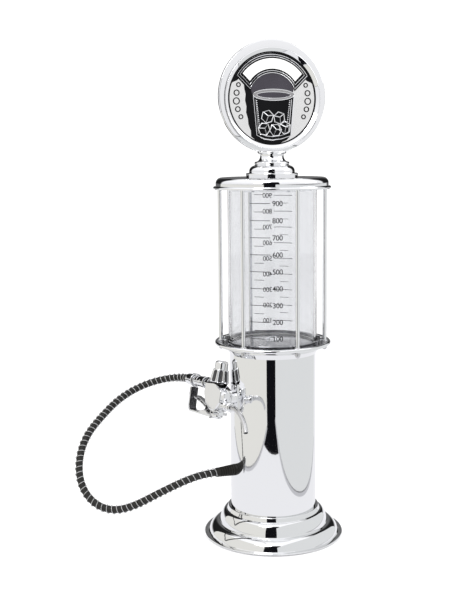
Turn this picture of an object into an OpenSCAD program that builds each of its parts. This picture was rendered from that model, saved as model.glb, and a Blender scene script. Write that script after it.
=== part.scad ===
// Tabletop drinks dispenser in the shape of an old visible-glass fuel pump.
// Front is -Y, the hose and the nozzle are on the -X side, +Z is up.
// The origin is the middle of the underside of the base. Millimetres.

/* [Base] */
// Radius of the base flange
base_r = 73.4; // [72:0.2:76]
// Thickness of the rubber pad under the base
foot_t = 1; // [0.8:0.1:1.5]

/* [Column] */
// Outer radius of the column
column_r = 45; // [44.5:0.1:45.2]
// Wall of the column
column_wall = 1.2; // [1:0.1:1.6]
// Height of the top end of the column
column_top = 200; // [199:0.5:201]

/* [Vessel] */
// Outer radius of the clear tube
tube_r = 45.8; // [45.6:0.1:46]
// Wall of the clear tube
tube_wall = 2.5; // [2:0.1:3]
// Height of the flat face of the lower rim
rim_top = 205; // [204.5:0.1:205.5]
// Height of the underside of the top ring
ring_z = 365.2; // [364:0.1:367]
// Outer radius of the two rims
rim_r = 60.3; // [60:0.1:61]

/* [Rods] */
// Number of upright rods
rod_count = 6; // [3:1:6]
// Radius of a rod
rod_r = 2; // [1.8:0.1:2.2]
// Distance of the rods from the axis
rod_circle_r = 54; // [53.5:0.1:54.3]

/* [Lid] */
// Outer radius of the lid
lid_r = 57.7; // [57:0.1:58]
// Height of the top face of the lid
lid_top = 377; // [376:0.2:379]

/* [Sign] */
// Radius of the round sign
sign_r = 55.7; // [54:0.1:56]
// Height of the centre of the sign
sign_z = 457.6; // [457:0.2:460]
// Angle that the sign is turned from the front of the pump
sign_turn = -9; // [-15:1:15]

/* [Hose] */
// Outer radius of the hose with its wire guard
hose_r = 4.5; // [4:0.1:4.8]
// Height at which the hose leaves the column
hose_z = 74; // [72:1:76]

/* [Nozzle] */
// Distance of the nozzle from the pump's axis
nozzle_x = 58; // [58:0.5:59]
// Height of the nozzle's own axis
nozzle_z = 163; // [162.5:0.5:163.5]
// Lean of the nozzle's top towards the column
nozzle_lean = 13; // [12:0.5:14]
// Droop of the hose end of the nozzle
nozzle_droop = 6; // [5:0.5:7]

/* [Hidden] */
$fn = 96;

chrome = "gainsboro";
black = "#202020";
clear = [0.85, 0.9, 0.92, 0.4];
bore_gap = 0.1;     // gap between a part and the part that it slips over
joint_gap = 0.3;    // gap between parts that move past each other
cut = 1;            // how far a cutting solid runs past the face that it cuts

// Base, from the floor up
flange_t = 1.6;
flange_z = foot_t;
step_wall = 1.5;
lower_step = [63, 7.4, 6];      // centre radius, centre height and radius of a rolled step
upper_step = [50.5, 19.5, 7];
neck_bead = [47, 28, 2];
cover_r = 59;
cover_t = 2;
weight_z = flange_z + cover_t;
weight_top = 16;
weight_r = 48;
spigot_h = 8;
base_screw_circle_r = 36;
base_screw_r = 2;
base_screw_head_r = 3.8;

// Rim, vessel floor and drain
rim_neck_z = 197;
rim_neck_r = 47;
rim_edge_r = 2;
rim_bore_r = 40;
floor_r = 49;
floor_t = 1.5;
seat_r = tube_r + 0.6;
gasket_t = 1;
tube_z = rim_top + floor_t + gasket_t;
tube_top = ring_z + 0.2;
floor_crown_r = 42.5;
floor_crown_top = rim_top + floor_t + 2;
drain_r = 5;
drain_flange_r = 9;

// Rod feet and rod ends
rod_foot_r = 3.3;
rod_foot_h = 4;
rod_end_r = 1.5;
rod_end_up = 2.4;
nut_seat_z = 202.9;
rod_end_down = 3.4;
nut_r = 3.1;

// Top ring and lid
ring_t = 3;
ring_top = ring_z + ring_t;
ring_edge_r = 1.5;
fill_r = 42;
lid_wall = 1.5;
lid_shoulder_r = 6;
lid_skirt_h = 6;
seal_t = 1;

// Sign: depths are measured from its middle plane towards the viewer
sign_half_t = 6.5;
face_t = 2.4;
face_r = 47.5;
sign_screw_circle_r = 50.5;
emblem_t = 0.8;
bezel_in_r = 46.4;
finial_top = 403.6;
stud_r = 2.5;
stud_top = 409;

// Nozzle: its own frame has +Y towards the hose and +Z towards the knob
hose_axis_z = 1.5;
body_half_w = 7.5;
body_top = 4.5;
body_front = -12;
body_rear = 28;
body_low = -30;
valve_y = 10;
chamber_r = 4.5;
seat_z = -6;
seat_bore_r = 2.6;
spout_z = -17.5;
spout_r = 2.5;
spout_bore_r = 1.7;
spout_bend_r = 43;
spout_bend = 58;
lever_y = -2.5;
lever_z = -26.5;
lever_pin_r = 1.5;
lever_half_w = 3.6;
stem_r = 1.6;
stem_low = -24.2;
barb_r = 2.6;
barb_bore_r = 1.8;
nut_front = 38;
ferrule_front = 60;
ferrule_rear = 84;
guard_half_w = 4.6;
guard_t = 2.5;
guard_rear = 71;
guard_screw_x = 5.4;
guard_screw_y = 8;
guard_screw_r = 0.9;
holder_y = -2;
holder_z = 151.5;
holder_screw_dz = 11;
peg_r = 2.5;
peg_out = 58.5;
shoulder_r = 6;
shoulder_out = 52;

// Route of the hose from the boot to the ferrule: corner points of a cubic spline
hose_route = [
    [-67, 0, 74], [-80, 0, 74], [-95, 2, 71], [-112, 7, 64], [-128, 15, 55], [-143, 24, 45],
    [-158, 35, 37], [-173, 46, 36], [-186, 59, 45], [-192, 71, 62], [-189, 82, 81], [-180, 93, 97],
    [-167, 103, 109], [-151, 112, 119], [-134, 120, 130], [-116, 125, 138], [-98, 127, 144],
    [-82, 122, 149], [-68, 112, 152.6], [-60, 98, 154.4], [-59.65, 84, 155.87]];
hose_sides = 10;
rings_per_span = 2;

// Points of an arc, from angle a0 to angle a1
function arc(cx, cy, r, a0, a1, n = 8) =
    [for (i = [0:n]) let (a = a0 + (a1 - a0) * i / n) [cx + r * cos(a), cy + r * sin(a)]];

function unit(v) = v / norm(v);

// Uniform cubic spline that starts and ends on the first and last corner
function with_ends(p) =
    concat([2 * p[0] - p[1]], p, [2 * p[len(p) - 1] - p[len(p) - 2]]);
function spline_point(q, i, t) =
    (pow(1 - t, 3) * q[i] + (3 * pow(t, 3) - 6 * t * t + 4) * q[i + 1]
     + (-3 * pow(t, 3) + 3 * t * t + 3 * t + 1) * q[i + 2] + pow(t, 3) * q[i + 3]) / 6;
function spline(p, n) = let (q = with_ends(p))
    concat([for (i = [0:len(p) - 2]) for (k = [0:n - 1]) spline_point(q, i, k / n)], [p[len(p) - 1]]);

// Direction of travel at point i, and a sideways vector carried from point to point
function heading(p, i) = unit(p[min(i + 1, len(p) - 1)] - p[max(i - 1, 0)]);
function carried(p, i) = let (t = heading(p, i), s = i == 0 ? [0, 0, 1] : carried(p, i - 1))
    unit(s - (s * t) * t);

// A round bar swept along points
module swept_bar(p, r, sides) {
    rings = [for (i = [0:len(p) - 1]) let (t = heading(p, i), u = carried(p, i), v = cross(t, u))
        for (k = [0:sides - 1]) p[i] + r * (cos(360 * k / sides) * u + sin(360 * k / sides) * v)];
    last = (len(p) - 1) * sides;
    faces = concat(
        [[for (k = [0:sides - 1]) k]],
        [for (i = [0:len(p) - 2]) for (k = [0:sides - 1]) let (a = i * sides, b = (k + 1) % sides)
            each [[a + k, a + sides + k, a + b], [a + b, a + sides + k, a + sides + b]]],
        [[for (k = [sides - 1:-1:0]) last + k]]);
    polyhedron(points = rings, faces = faces);
}

// A flat ring that stands on height z
module ring(r_out, r_in, z, h) {
    translate([0, 0, z]) difference() {
        cylinder(r = r_out, h = h);
        translate([0, 0, -cut]) cylinder(r = r_in, h = h + 2 * cut);
    }
}

// Places a child at each rod
module at_rods() {
    for (i = [0:rod_count - 1]) rotate([0, 0, 360 * i / rod_count])
        translate([0, -rod_circle_r, 0]) children();
}

// Places a child in the sign's frame, with +Z towards the viewer and +Y up
module in_sign() {
    translate([0, 0, sign_z]) rotate([0, 0, sign_turn]) rotate([90, 0, 0]) children();
}

// Places a child in the nozzle's frame
module in_nozzle() {
    translate([-nozzle_x, 0, nozzle_z]) rotate([-nozzle_droop, nozzle_lean, 0]) children();
}

// A cylinder along +Y, in the nozzle's frame
module along_y(r, y0, y1, z = hose_axis_z) {
    translate([0, y0, z]) rotate([-90, 0, 0]) cylinder(r = r, h = y1 - y0);
}

// A cylinder along -X, from one distance from the pump's axis to another
module along_x(r, x0, x1, y, z) {
    translate([-x0, y, z]) rotate([0, -90, 0]) cylinder(r = r, h = x1 - x0);
}

/* Base */

module foot_pad() {
    color(black) difference() {
        cylinder(r = base_r - 2.4, h = foot_t);
        at_base_screws() translate([0, 0, -cut])
            cylinder(r = base_screw_head_r + joint_gap, h = foot_t + 2 * cut);
    }
}

module base_cover() {
    color(black) difference() {
        translate([0, 0, flange_z]) cylinder(r = cover_r, h = cover_t);
        at_base_screws() translate([0, 0, -cut]) cylinder(r = base_screw_r + bore_gap, h = weight_top);
    }
}

module at_base_screws() {
    for (i = [0:3]) rotate([0, 0, 45 + 90 * i]) translate([base_screw_circle_r, 0, 0]) children();
}

module base_screws() {
    color(chrome) at_base_screws() {
        translate([0, 0, flange_z - 0.8]) cylinder(r = base_screw_head_r, h = 0.8);
        translate([0, 0, flange_z]) cylinder(r = base_screw_r, h = cover_t + 7);
    }
}

module base_weight() {
    color("dimgray") difference() {
        union() {
            translate([0, 0, weight_z]) cylinder(r = weight_r, h = weight_top - weight_z);
            ring(column_r - column_wall - bore_gap, column_r - 6, weight_top - cut, spigot_h + cut);
        }
        at_base_screws() cylinder(r = base_screw_r, h = weight_z + 7);
    }
}

module rolled_step(step, wall) {
    translate([step[0], step[1]]) circle(r = step[2] - wall);
}

module base_profile(wall) {
    rolled_step(lower_step, wall);
    rolled_step(upper_step, wall);
    for (step = [lower_step, upper_step]) translate([40, flange_z + wall])
        square([step[0] - 40, step[1] + step[2] - flange_z - 2 * wall]);
}

module base_shell() {
    edge_r = flange_t / 2;
    color(chrome) rotate_extrude() difference() {
        union() {
            base_profile(0);
            rolled_step(neck_bead, 0);
            translate([40, upper_step[1]])
                square([neck_bead[0] - 40, neck_bead[1] + neck_bead[2] - upper_step[1]]);
            translate([cover_r + bore_gap, flange_z])
                square([base_r - edge_r - cover_r - bore_gap, flange_t]);
            translate([base_r - edge_r, flange_z + edge_r]) circle(r = edge_r);
        }
        base_profile(step_wall);
        square([column_r + bore_gap, 40]);
        translate([0, -cut]) square([cover_r + bore_gap, flange_z + step_wall + 2 * cut]);
    }
}

/* Column, rim and vessel */

module column() {
    color(chrome) difference() {
        ring(column_r, column_r - column_wall, weight_top, column_top - weight_top);
        along_x(5.2, 30, 60, 0, hose_z);
        holder_screw_holes(1.3);
    }
}

module rim() {
    edge_x = rim_r - rim_edge_r;
    color(chrome) difference() {
        rotate_extrude() {
            translate([edge_x, rim_top + rim_edge_r - 0.5]) circle(r = rim_edge_r);
            polygon([[rim_bore_r, column_top], [column_r + bore_gap, column_top],
                     [column_r + bore_gap, rim_neck_z], [rim_neck_r, rim_neck_z],
                     [edge_x, rim_top - 1], [edge_x, rim_top], [rim_bore_r, rim_top]]);
        }
        at_rods() translate([0, 0, nut_seat_z - 10]) cylinder(r = nut_r + 0.6, h = 10);
        at_rods() translate([0, 0, nut_seat_z - cut]) cylinder(r = rod_end_r, h = 10);
        at_rods() translate([0, 0, rim_top]) cylinder(r = rod_foot_r, h = 10);
    }
}

module vessel_floor() {
    color(chrome) difference() {
        union() {
            translate([0, 0, rim_top]) cylinder(r = floor_r, h = floor_t);
            ring(floor_r, seat_r, rim_top, 5);
            translate([0, 0, rim_top + floor_t])
                cylinder(r1 = floor_crown_r, r2 = drain_flange_r + 1,
                         h = floor_crown_top - rim_top - floor_t);
        }
        translate([0, 0, rim_top - cut]) cylinder(r = drain_r, h = 10);
    }
}

module lower_gasket() {
    color("whitesmoke") ring(tube_r, tube_r - tube_wall, rim_top + floor_t, gasket_t);
}

module vessel_tube() {
    color(clear) ring(tube_r, tube_r - tube_wall, tube_z, tube_top - tube_z);
}

module upper_gasket() {
    color("whitesmoke") ring(tube_r, tube_r - tube_wall, tube_top, gasket_t);
}

module top_ring() {
    edge_x = rim_r - ring_edge_r;
    color(chrome) difference() {
        rotate_extrude() difference() {
            union() {
                translate([fill_r, ring_z]) square([edge_x - fill_r, ring_t]);
                translate([edge_x, ring_z + ring_edge_r]) circle(r = ring_edge_r);
            }
            translate([tube_r - tube_wall - 0.3, ring_z - cut])
                square([tube_wall + 0.6, tube_top + gasket_t - ring_z + cut]);
        }
        at_rods() translate([0, 0, ring_z - cut]) cylinder(r = rod_end_r, h = rod_end_up + cut);
    }
}

/* Rods */

module rod(i) {
    color(chrome) rotate([0, 0, 360 * (i - 1) / rod_count]) translate([0, -rod_circle_r, 0]) {
        translate([0, 0, rim_top]) cylinder(r = rod_r, h = ring_z - rim_top);
        translate([0, 0, nut_seat_z - rod_end_down])
            cylinder(r = rod_end_r, h = ring_z + rod_end_up - nut_seat_z + rod_end_down);
    }
}

module rod_feet() {
    color(chrome) at_rods() ring(rod_foot_r, rod_r, rim_top, rod_foot_h);
}

module rod_nuts() {
    color(chrome) at_rods() difference() {
        union() {
            translate([0, 0, nut_seat_z - 3]) cylinder(r = nut_r, h = 3, $fn = 6);
            translate([0, 0, nut_seat_z - 3.6]) sphere(r = 2.4, $fn = 32);
        }
        translate([0, 0, nut_seat_z - rod_end_down]) cylinder(r = rod_end_r, h = 5);
    }
}

/* Drain and the tube inside the column */

module drain_fitting() {
    color(chrome) difference() {
        union() {
            translate([0, 0, floor_crown_top])
                cylinder(r1 = drain_flange_r, r2 = drain_flange_r - 1, h = 1.2);
            translate([0, 0, 197]) cylinder(r = drain_r, h = floor_crown_top - 197);
            translate([0, 0, 184]) cylinder(r = 2.5, h = 14);
        }
        translate([0, 0, 183]) cylinder(r = 1.6, h = 40);
        translate([0, 0, floor_crown_top - 4]) cylinder(r = 3.2, h = 10);
    }
}

module drain_gasket() {
    color(black) ring(drain_flange_r + 1, drain_r, rim_top - gasket_t, gasket_t);
}

module drain_nut() {
    color("gold") difference() {
        translate([0, 0, rim_top - gasket_t - 4.5]) cylinder(r = 9, h = 4.5, $fn = 6);
        translate([0, 0, 190]) cylinder(r = drain_r, h = 20);
    }
}

module inner_tube() {
    bend_r = 22;
    color("whitesmoke") {
        ring(4, 2.5, hose_z + bend_r, 195 - hose_z - bend_r);
        translate([-bend_r, 0, hose_z + bend_r]) rotate([90, 0, 0])
            rotate_extrude(angle = -90) tube_section();
        translate([-bend_r, 0, hose_z]) rotate([0, -90, 0]) ring(4, 2.5, 0, 16);
    }

    module tube_section() {
        translate([bend_r, 0]) difference() {
            circle(r = 4);
            circle(r = 2.5);
        }
    }
}

module hose_tail() {
    color("gold") difference() {
        union() {
            along_x(2.5, 24, 38, 0, hose_z);
            along_x(4.4, 38, 40.5, 0, hose_z);
            along_x(2.3, 40, 66, 0, hose_z);
        }
        along_x(1.5, 20, 70, 0, hose_z);
    }
}

module hose_boot() {
    color(black) difference() {
        union() {
            along_x(6.4, 40.8, 42.8, 0, hose_z);
            along_x(5.1, 42, 46, 0, hose_z);
            difference() {
                union() {
                    translate([-44, 0, hose_z]) rotate([0, -90, 0]) cylinder(r1 = 6.6, r2 = 6.2, h = 8);
                    translate([-52, 0, hose_z]) rotate([0, -90, 0]) cylinder(r1 = 6.2, r2 = 4.9, h = 15);
                }
                translate([0, 0, hose_z - 20]) cylinder(r = column_r, h = 40);
            }
        }
        along_x(2.3, 40, 70, 0, hose_z);
    }
}

module hose() {
    color(black) swept_bar(spline(hose_route, rings_per_span), hose_r, hose_sides);
}

/* Lid and finial */

module lid_cap() {
    under = lid_top - lid_wall;
    color(chrome) difference() {
        rotate_extrude() {
            difference() {
                lid_outline(0);
                lid_outline(lid_wall);
            }
            translate([fill_r - joint_gap - 1.5, ring_z - 2]) square([1.5, under - ring_z + 2 + 0.5]);
        }
        translate([0, 0, ring_z - 3]) cylinder(r = stud_r, h = 20);
    }

    module lid_outline(wall) {
        top = lid_top - wall;
        r = lid_r - wall;
        base_z = wall > 0 ? ring_top - cut : ring_top;
        shoulder = arc(r - lid_shoulder_r, top - lid_shoulder_r, lid_shoulder_r, 0, 90, 12);
        polygon(concat([[0, base_z], [r, base_z]], shoulder, [[0, top]]));
    }
}

module lid_seal() {
    color(black) ring(fill_r + 4, fill_r - joint_gap, ring_top, seal_t);
}

module finial() {
    color(chrome) difference() {
        rotate_extrude() polygon(concat(
            [[0, lid_top], [26.5, lid_top]],
            arc(25.6, lid_top + 3.4, 0.9, 0, 90, 4),
            [[23.3, lid_top + 4.3]],
            arc(17.4, lid_top + 6, 5.9, 0, 80, 6),
            arc(16.2, 391.2, 1.6, -60, 60, 6),
            [[13.6, 393.4], [12.2, 395.6], [11.8, 398], [12.4, 400.2]],
            arc(13.2, 402, 1.6, -60, 90, 6),
            [[0, finial_top]]));
        translate([0, 0, lid_top - cut]) cylinder(r = stud_r, h = 40);
        in_sign() translate([0, 0, -sign_half_t]) cylinder(r = sign_r, h = 2 * sign_half_t);
    }
}

module sign_stud() {
    color("gray") translate([0, 0, 370]) cylinder(r = stud_r, h = stud_top - 370);
}

module sign_nut() {
    color("gray") difference() {
        translate([0, 0, lid_top - lid_wall - 4]) cylinder(r = 4.6, h = 4, $fn = 6);
        translate([0, 0, lid_top - 10]) cylinder(r = stud_r, h = 12);
    }
}

/* Sign */

module sign_back() {
    edge = 3;
    color(chrome) difference() {
        in_sign() difference() {
            rotate_extrude() polygon(concat(
                [[0, -sign_half_t], [sign_r - edge, -sign_half_t]],
                arc(sign_r - edge, -sign_half_t + edge, edge, -90, 0, 6),
                [[sign_r, 0], [0, 0]]));
            translate([0, 0, -sign_half_t + 1.5]) cylinder(r = face_r - 1.8, h = 20);
            at_sign_screws() translate([0, 0, -10]) cylinder(r = 1, h = 20);
        }
        cylinder(r = stud_r, h = stud_top);
    }
}

module sign_bezel() {
    seat = face_r + bore_gap;
    color(chrome) difference() {
        in_sign() rotate_extrude() polygon(concat(
            [[bezel_in_r, face_t], [seat, face_t], [seat, 0], [sign_r, 0], [sign_r, 2]],
            arc(sign_r - 3.5, 2, 3.5, 0, 60, 5),
            arc(50, 3.2, 3.3, 60, 150, 6)));
        cylinder(r = stud_r, h = stud_top);
    }
}

module sign_face() {
    color(black) in_sign() cylinder(r = face_r, h = face_t);
}

module sign_emblem() {
    dot_r = [2.2, 2.7, 3.4, 2.7, 2.2];
    color(chrome) in_sign() translate([0, 0, face_t]) {
        linear_extrude(emblem_t) banner();
        linear_extrude(emblem_t) tumbler();
        for (side = [-1, 1]) for (i = [0:4])
            rotate([0, 0, 90 - side * (92 + 11.5 * (i - 2))]) translate([38, 0, 0])
                ring(dot_r[i], dot_r[i] - 1, 0, emblem_t);
    }

    module banner() {
        polygon(concat(arc(0, 0, 43, 47, 133, 16), arc(0, 0, 30, 133, 47, 12)));
    }

    module tumbler() {
        wall = 2;
        difference() {
            polygon([[-15, -36], [15, -36], [19, 10], [-19, 10]]);
            polygon([[-15 + wall, -36 + 2 * wall], [15 - wall, -36 + 2 * wall],
                     [19 - wall, 10 - wall], [-19 + wall, 10 - wall]]);
        }
        for (cube_at = [[-6, -25, 8], [6.5, -23, -10], [0, -13, 30]])
            translate([cube_at[0], cube_at[1]]) rotate(cube_at[2]) difference() {
                square(9.6, center = true);
                square(6.4, center = true);
            }
    }
}

module at_sign_screws() {
    for (a = [90, 210, 330]) rotate([0, 0, a]) translate([sign_screw_circle_r, 0, 0]) children();
}

module sign_screws() {
    color("gray") in_sign() at_sign_screws() {
        translate([0, 0, -sign_half_t - 0.8]) cylinder(r = 2, h = 0.8);
        translate([0, 0, -sign_half_t]) cylinder(r = 1, h = sign_half_t);
    }
}

/* Holder for the nozzle */

module holder_screw_holes(r) {
    for (dz = [-holder_screw_dz, holder_screw_dz]) along_x(r, 40, 50, holder_y, holder_z + dz);
}

module holder_bracket() {
    plate_t = 1.6;
    color(chrome) {
        difference() {
            union() {
                intersection() {
                    ring(column_r + plate_t, column_r, holder_z - 15, 30);
                    translate([-column_r - 5, holder_y - 6.5, holder_z - 15]) cube([20, 13, 30]);
                }
                difference() {
                    along_x(shoulder_r, column_r - 1, shoulder_out - joint_gap, holder_y, holder_z);
                    translate([0, 0, holder_z - 10]) cylinder(r = column_r, h = 20);
                }
                along_x(peg_r, column_r + 1, peg_out, holder_y, holder_z);
            }
            holder_screw_holes(1.3);
        }
    }
}

module holder_screws() {
    color("gray") for (dz = [-holder_screw_dz, holder_screw_dz]) {
        along_x(1.3, 41, 48, holder_y, holder_z + dz);
        along_x(2.4, 47, 48.2, holder_y, holder_z + dz);
    }
}

/* Nozzle */

module nozzle_body() {
    chamfer = 2.5;
    low_chamfer = 0.8;
    w = body_half_w;
    color(chrome) difference() {
        union() {
            in_nozzle() intersection() {
                rotate([90, 0, 90]) translate([0, 0, -w]) linear_extrude(2 * w) polygon([
                    [body_rear, body_top], [-4, body_top], [body_front, -2], [body_front, -20],
                    [-6.5, body_low], [14, body_low], [body_rear, -18]]);
                translate([0, body_rear + cut, 0]) rotate([90, 0, 0])
                    linear_extrude(body_rear - body_front + 2 * cut) polygon([
                        [w - chamfer, body_top], [w, body_top - chamfer], [w, body_low + low_chamfer],
                        [w - low_chamfer, body_low], [low_chamfer - w, body_low],
                        [-w, body_low + low_chamfer], [-w, body_top - chamfer], [chamfer - w, body_top]]);
            }
            in_nozzle() {
                along_y(5, body_rear - cut, nut_front);
                along_y(4, nut_front - cut, nut_front + 4);
                translate([0, valve_y, body_top - cut]) cylinder(r = 6.4, h = 5 + cut);
                along_y(4.2, -20, body_front + cut, spout_z);
            }
            along_x(5.5, shoulder_out, nozzle_x, holder_y, holder_z);
        }
        along_x(shoulder_r + 0.5, column_r, shoulder_out, holder_y, holder_z);
        along_x(peg_r + 0.2, shoulder_out - cut, peg_out + 1, holder_y, holder_z);
        in_nozzle() {
            along_y(2, valve_y, 30);
            along_y(barb_r, 30, nut_front + 10);
            translate([0, valve_y, seat_z]) cylinder(r = chamber_r, h = 30);
            translate([0, valve_y, -19]) cylinder(r = seat_bore_r, h = 20);
            translate([0, valve_y, -23.5]) cylinder(r = stem_r + 0.06, h = 20);
            translate([0, valve_y, -21.5]) cylinder(r = 2.8, h = 1.4);
            along_y(spout_bore_r, -21, valve_y, spout_z);
            along_y(spout_r, -21, -15, spout_z);
            lever_slot();
            translate([-10, lever_y, lever_z]) rotate([0, 90, 0]) cylinder(r = lever_pin_r, h = 20);
            at_guard_screws() translate([0, 0, body_low - cut]) cylinder(r = guard_screw_r, h = 5 + cut);
        }
    }

    // The slot that the lever runs in, open below and at the back
    module lever_slot() {
        half = lever_half_w + 0.4;
        rotate([90, 0, 90]) translate([0, 0, -half]) linear_extrude(2 * half)
            polygon([[-6.2, body_low - cut], [-6.2, -22.3], [14, -22.3], [32, -9], [32, body_low - cut]]);
    }
}

module nozzle_knob() {
    flutes = 10;
    color(chrome) in_nozzle() translate([0, valve_y, body_top]) difference() {
        union() {
            cylinder(r1 = 10.6, r2 = 8.8, h = 12.5);
            translate([0, 0, 12.5]) cylinder(r = 7, h = 8.5);
            translate([0, 0, 21]) cylinder(r1 = 7, r2 = 5.4, h = 1.6);
        }
        translate([0, 0, -cut]) cylinder(r = 6.5, h = 6 + cut);
        cylinder(r = 4.8, h = 15);
        for (i = [0:flutes - 1]) rotate([0, 0, 360 * i / flutes]) translate([10.9, 0, -cut])
            rotate([0, -8.2, 0]) cylinder(r = 1.3, h = 16);
    }
}

// Places a child at each screw of the guard, in the nozzle's frame
module at_guard_screws() {
    for (side = [-1, 1]) translate([side * guard_screw_x, guard_screw_y, 0]) children();
}

module trigger_guard() {
    low = body_low - guard_t;
    color(chrome) in_nozzle() difference() {
        union() {
            rotate([90, 0, 90]) translate([0, 0, -guard_half_w]) linear_extrude(2 * guard_half_w) polygon([
                [2, body_low], [guard_rear - 5, body_low], [guard_rear - 5, hose_axis_z - 5],
                [guard_rear, hose_axis_z - 5], [guard_rear, low + 3.5], [guard_rear - 3.5, low], [2, low]]);
            translate([-6.5, 2, low]) cube([13, 12, guard_t]);
            along_y(7.4, guard_rear - 5, guard_rear);
        }
        along_y(5.8, 60, 75);
        at_guard_screws() translate([0, 0, low - cut]) cylinder(r = guard_screw_r, h = guard_t + 2 * cut);
    }
}

module guard_screws() {
    color("gray") in_nozzle() at_guard_screws() {
        translate([0, 0, body_low - guard_t - 0.6]) cylinder(r = 1.5, h = 0.6);
        translate([0, 0, body_low - guard_t]) cylinder(r = guard_screw_r, h = guard_t + 4);
    }
}

module coupling_nut() {
    color(chrome) in_nozzle() difference() {
        union() {
            along_y(6.2, nut_front, 46);
            along_y(5.6, 46, ferrule_front);
        }
        along_y(4, nut_front - cut, nut_front + 4);
        along_y(barb_r, nut_front, ferrule_front + cut);
    }
}

module hose_barb() {
    color("gold") in_nozzle() difference() {
        along_y(barb_r, 30, ferrule_rear - 2);
        along_y(barb_bore_r, 29, ferrule_rear);
    }
}

module hose_ferrule() {
    color(chrome) in_nozzle() difference() {
        along_y(5.8, ferrule_front, ferrule_rear);
        along_y(barb_r, ferrule_front - cut, ferrule_rear - 2);
    }
}

module spout_nut() {
    color(chrome) in_nozzle() difference() {
        union() {
            along_y(4.9, -25, -20, spout_z);
            along_y(3.8, -27, -25, spout_z);
        }
        along_y(spout_r, -30, -19, spout_z);
    }
}

module spout() {
    color(chrome) in_nozzle() {
        difference() {
            along_y(spout_r, -28, -15, spout_z);
            along_y(spout_bore_r, -30, -14, spout_z);
        }
        translate([0, -28, spout_z - spout_bend_r]) rotate([0, 0, 90]) rotate([90, 0, 0])
            rotate([0, 0, 90]) rotate_extrude(angle = spout_bend) translate([spout_bend_r, 0]) difference() {
                circle(r = spout_r);
                circle(r = spout_bore_r);
            }
    }
}

module trigger_pin() {
    color("gray") in_nozzle() translate([-body_half_w - 0.3, lever_y, lever_z])
        rotate([0, 90, 0]) cylinder(r = lever_pin_r, h = 2 * body_half_w + 0.6);
}

module stem_seal() {
    color(black) in_nozzle() translate([0, valve_y, 0]) ring(2.8, stem_r + 0.05, -21.5, 1.4);
}

module valve_spring() {
    turns = 5;
    steps = 14;
    coil = [for (i = [0:turns * steps]) let (a = 360 * i / steps)
        [3.7 * cos(a), valve_y + 3.7 * sin(a), 9.9 + i * 1.75 / steps]];
    color("gray") in_nozzle() swept_bar(coil, 0.4, 6);
}

/* Trigger and valve */

module trigger() {
    w = lever_half_w;
    color(chrome) in_nozzle() difference() {
        union() {
            translate([-w, lever_y, lever_z]) rotate([0, 90, 0]) cylinder(r = 2.6, h = 2 * w);
            rotate([90, 0, 90]) translate([0, 0, -w]) linear_extrude(2 * w) polygon(concat(
                [[lever_y, lever_z - 2.4], [13, lever_z - 1.6]],
                [[40, -20.5], [56, -17.6]], arc(58, -15.8, 1.9, -90, 90, 6),
                [[56, -13.8], [40, -16.8], [14, stem_low - 0.2], [lever_y, stem_low - 0.2]]));
        }
        translate([-10, lever_y, lever_z]) rotate([0, 90, 0]) cylinder(r = lever_pin_r + 0.06, h = 20);
    }
}

module valve_stem() {
    color("silver") in_nozzle() translate([0, valve_y, 0]) {
        translate([0, 0, stem_low]) cylinder(r = stem_r, h = 16 - stem_low);
        translate([0, 0, seat_z + 1.8]) cylinder(r = 3.9, h = 1.6);
        translate([0, 0, 8]) cylinder(r = 4.2, h = 1.2);
    }
}

module valve_seal() {
    color(black) in_nozzle() translate([0, valve_y, 0]) ring(3.9, stem_r, seat_z, 1.8);
}

foot_pad();
base_cover();
base_screws();
base_weight();
base_shell();
column();
rim();
vessel_floor();
lower_gasket();
vessel_tube();
upper_gasket();
top_ring();
for (i = [1:6]) rod(i);
rod_feet();
rod_nuts();
drain_fitting();
drain_gasket();
drain_nut();
inner_tube();
hose_tail();
hose_boot();
hose();
lid_cap();
lid_seal();
finial();
sign_stud();
sign_nut();
sign_back();
sign_bezel();
sign_face();
sign_emblem();
sign_screws();
holder_bracket();
holder_screws();
nozzle_body();
nozzle_knob();
trigger_guard();
guard_screws();
coupling_nut();
hose_barb();
hose_ferrule();
spout_nut();
spout();
trigger_pin();
stem_seal();
valve_spring();
trigger();
valve_stem();
valve_seal();
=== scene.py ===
"""Looks for a tabletop drinks dispenser in the shape of an old visible-glass fuel pump."""

import math

import bpy
from mathutils import Matrix, Vector


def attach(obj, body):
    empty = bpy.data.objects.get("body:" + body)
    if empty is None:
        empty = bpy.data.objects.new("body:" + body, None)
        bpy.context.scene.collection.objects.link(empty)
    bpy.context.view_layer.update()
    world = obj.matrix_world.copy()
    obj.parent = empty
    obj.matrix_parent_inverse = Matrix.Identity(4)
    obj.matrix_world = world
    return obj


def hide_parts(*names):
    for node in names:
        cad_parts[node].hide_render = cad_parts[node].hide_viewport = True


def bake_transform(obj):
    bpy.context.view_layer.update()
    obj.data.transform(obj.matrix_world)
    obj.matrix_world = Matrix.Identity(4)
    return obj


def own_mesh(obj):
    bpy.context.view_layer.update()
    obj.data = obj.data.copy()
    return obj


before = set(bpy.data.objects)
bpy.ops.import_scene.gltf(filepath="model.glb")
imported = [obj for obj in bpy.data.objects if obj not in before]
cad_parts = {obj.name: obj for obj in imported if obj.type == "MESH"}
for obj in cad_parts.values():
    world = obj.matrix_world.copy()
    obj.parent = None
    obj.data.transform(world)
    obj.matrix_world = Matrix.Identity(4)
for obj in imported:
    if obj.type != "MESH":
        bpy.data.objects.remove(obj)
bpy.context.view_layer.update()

MM = 0.001
TAU = 2 * math.pi
scene = bpy.context.scene


# ---------------------------------------------------------------- camera

CAMERA_AT = (-0.479, -0.923, 0.4026)
CAMERA_TURN = (math.radians(81.67), 0, math.radians(-25.31))
CAMERA_ROLL = math.radians(-0.53)
CAMERA_SIDE = math.radians(-117.4)  # direction from the pump's axis to the camera

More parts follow.
